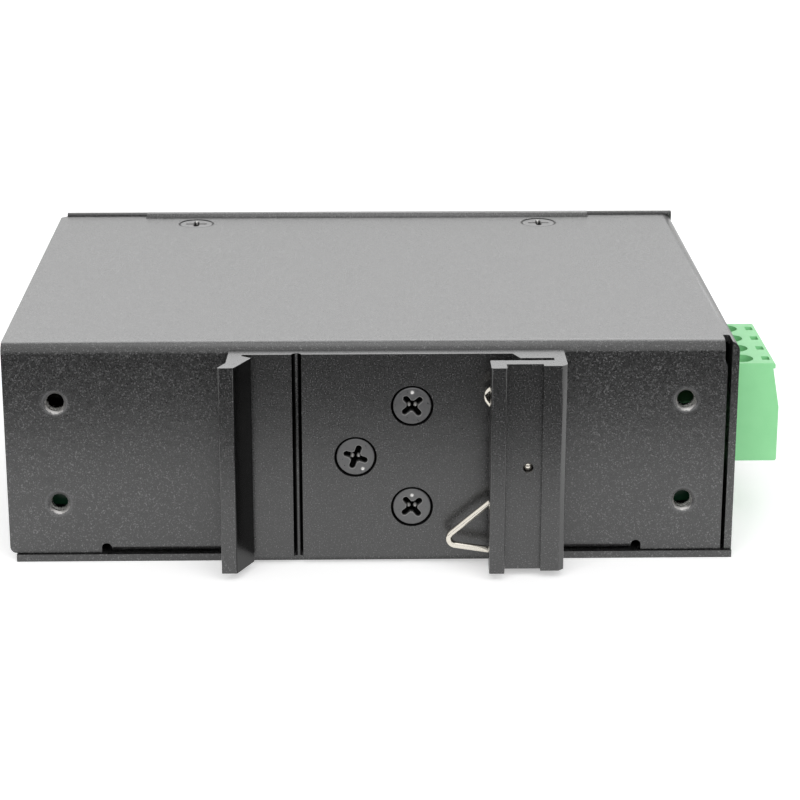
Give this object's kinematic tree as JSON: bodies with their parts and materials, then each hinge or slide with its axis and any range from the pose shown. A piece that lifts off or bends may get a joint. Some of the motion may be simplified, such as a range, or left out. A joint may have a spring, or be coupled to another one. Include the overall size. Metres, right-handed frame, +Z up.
{
  "type": "power over network splitter",
  "caption": "Slim folded-steel network power splitter with a rail clip on its rear, network sockets in front and a pluggable screw terminal on one end.",
  "frame": {"origin": "centre of the housing's underside, on the surface it lies on", "axes": "+X along the housing towards the power terminal, +Y from the rail clip to the network sockets, +Z up"},
  "size_m": [0.1082, 0.0845, 0.0318],
  "materials": {
    "black_coat": "fine textured black powder coat on folded steel sheet",
    "black_extrusion": "black matt finish on an extruded section",
    "black_screw": "black oxide steel",
    "spring_wire": "bright drawn spring wire",
    "plated_steel": "bright zinc plate",
    "clamp_metal": "nickel-plated brass",
    "contact_metal": "tin-plated copper alloy",
    "green_plastic": "green moulded polyamide",
    "board_laminate": "green solder mask on glass laminate",
    "socket_metal": "nickel-plated sheet",
    "socket_plastic": "black moulded thermoplastic",
    "socket_contact": "gold-flashed contact strip",
    "ferrite": "dark grey sintered ferrite",
    "winding": "enamelled copper wire",
    "bobbin_plastic": "black moulded bobbin",
    "can_sleeve": "dark shrink sleeve",
    "package_plastic": "black moulding compound",
    "lamp_lens": "tinted clear epoxy"
  },
  "bodies": {
    "splitter": {"housing_shell": "black_coat", "housing_cover": "black_coat", "din_clip": "black_extrusion", "top_cover_screws": "black_screw", "bottom_cover_screws": "black_screw", "clip_screws": "black_screw", "spring_pin": "spring_wire", "board_standoffs": "plated_steel", "board_screws": "plated_steel", "header_posts": "contact_metal", "terminal_header": "green_plastic", "circuit_board": "board_laminate", "power_socket_shield": "socket_metal", "data_socket_shield": "socket_metal", "power_socket_insert": "socket_plastic", "data_socket_insert": "socket_plastic", "lamp_holder": "socket_plastic", "power_socket_contacts": "socket_contact", "data_socket_contacts": "socket_contact", "transformer_core": "ferrite", "choke_core": "ferrite", "transformer_winding": "winding", "choke_winding": "winding", "transformer_bobbin": "bobbin_plastic", "input_capacitor": "can_sleeve", "output_capacitors": "can_sleeve", "network_transformer": "package_plastic", "controller_chip": "package_plastic", "switching_transistor": "package_plastic", "optocoupler": "package_plastic", "bridge_rectifiers": "package_plastic", "status_lamp": "lamp_lens"},
    "spring": {"clip_spring": "spring_wire"},
    "plug": {"terminal_plug": "green_plastic", "plug_contacts": "contact_metal"},
    "screw_1": {"clamp_screw_1": "plated_steel"},
    "cage_1": {"clamp_cage_1": "clamp_metal"},
    "screw_2": {"clamp_screw_2": "plated_steel"},
    "cage_2": {"clamp_cage_2": "clamp_metal"},
    "screw_3": {"clamp_screw_3": "plated_steel"},
    "cage_3": {"clamp_cage_3": "clamp_metal"},
    "screw_4": {"clamp_screw_4": "plated_steel"},
    "cage_4": {"clamp_cage_4": "clamp_metal"}
  },
  "joints": [
    {"name": "spring_swing", "type": "hinge", "parent": "splitter", "child": "spring", "pos_m": [0.021, -0.04222, 0.0156], "axis": [0, 1, 0], "range_deg": [-15, 0]},
    {"name": "plug_pull", "type": "slide", "parent": "splitter", "child": "plug", "axis": [1, 0, 0], "range_m": [0, 0.012]},
    {"name": "screw_1_turn", "type": "hinge", "parent": "plug", "child": "screw_1", "pos_m": [0.0528, -0.02116, 0.018], "axis": [0, 0, -1], "range_deg": [0, 1805]},
    {"name": "cage_1_rise", "type": "slide", "parent": "plug", "child": "cage_1", "axis": [0, 0, 1], "range_m": [0, 0.0025]},
    {"name": "screw_2_turn", "type": "hinge", "parent": "plug", "child": "screw_2", "pos_m": [0.0528, -0.01608, 0.018], "axis": [0, 0, -1], "range_deg": [0, 1805]},
    {"name": "cage_2_rise", "type": "slide", "parent": "plug", "child": "cage_2", "axis": [0, 0, 1], "range_m": [0, 0.0025]},
    {"name": "screw_3_turn", "type": "hinge", "parent": "plug", "child": "screw_3", "pos_m": [0.0528, -0.011, 0.018], "axis": [0, 0, -1], "range_deg": [0, 1805]},
    {"name": "cage_3_rise", "type": "slide", "parent": "plug", "child": "cage_3", "axis": [0, 0, 1], "range_m": [0, 0.0025]},
    {"name": "screw_4_turn", "type": "hinge", "parent": "plug", "child": "screw_4", "pos_m": [0.0528, -0.00592, 0.018], "axis": [0, 0, -1], "range_deg": [0, 1805]},
    {"name": "cage_4_rise", "type": "slide", "parent": "plug", "child": "cage_4", "axis": [0, 0, 1], "range_m": [0, 0.0025]}
  ],
  "couplings": [
    {"joint": "screw_1_turn", "follows": "cage_1_rise", "rad_per_m": 12566},
    {"joint": "screw_2_turn", "follows": "cage_2_rise", "rad_per_m": 12566},
    {"joint": "screw_3_turn", "follows": "cage_3_rise", "rad_per_m": 12566},
    {"joint": "screw_4_turn", "follows": "cage_4_rise", "rad_per_m": 12566}
  ]
}
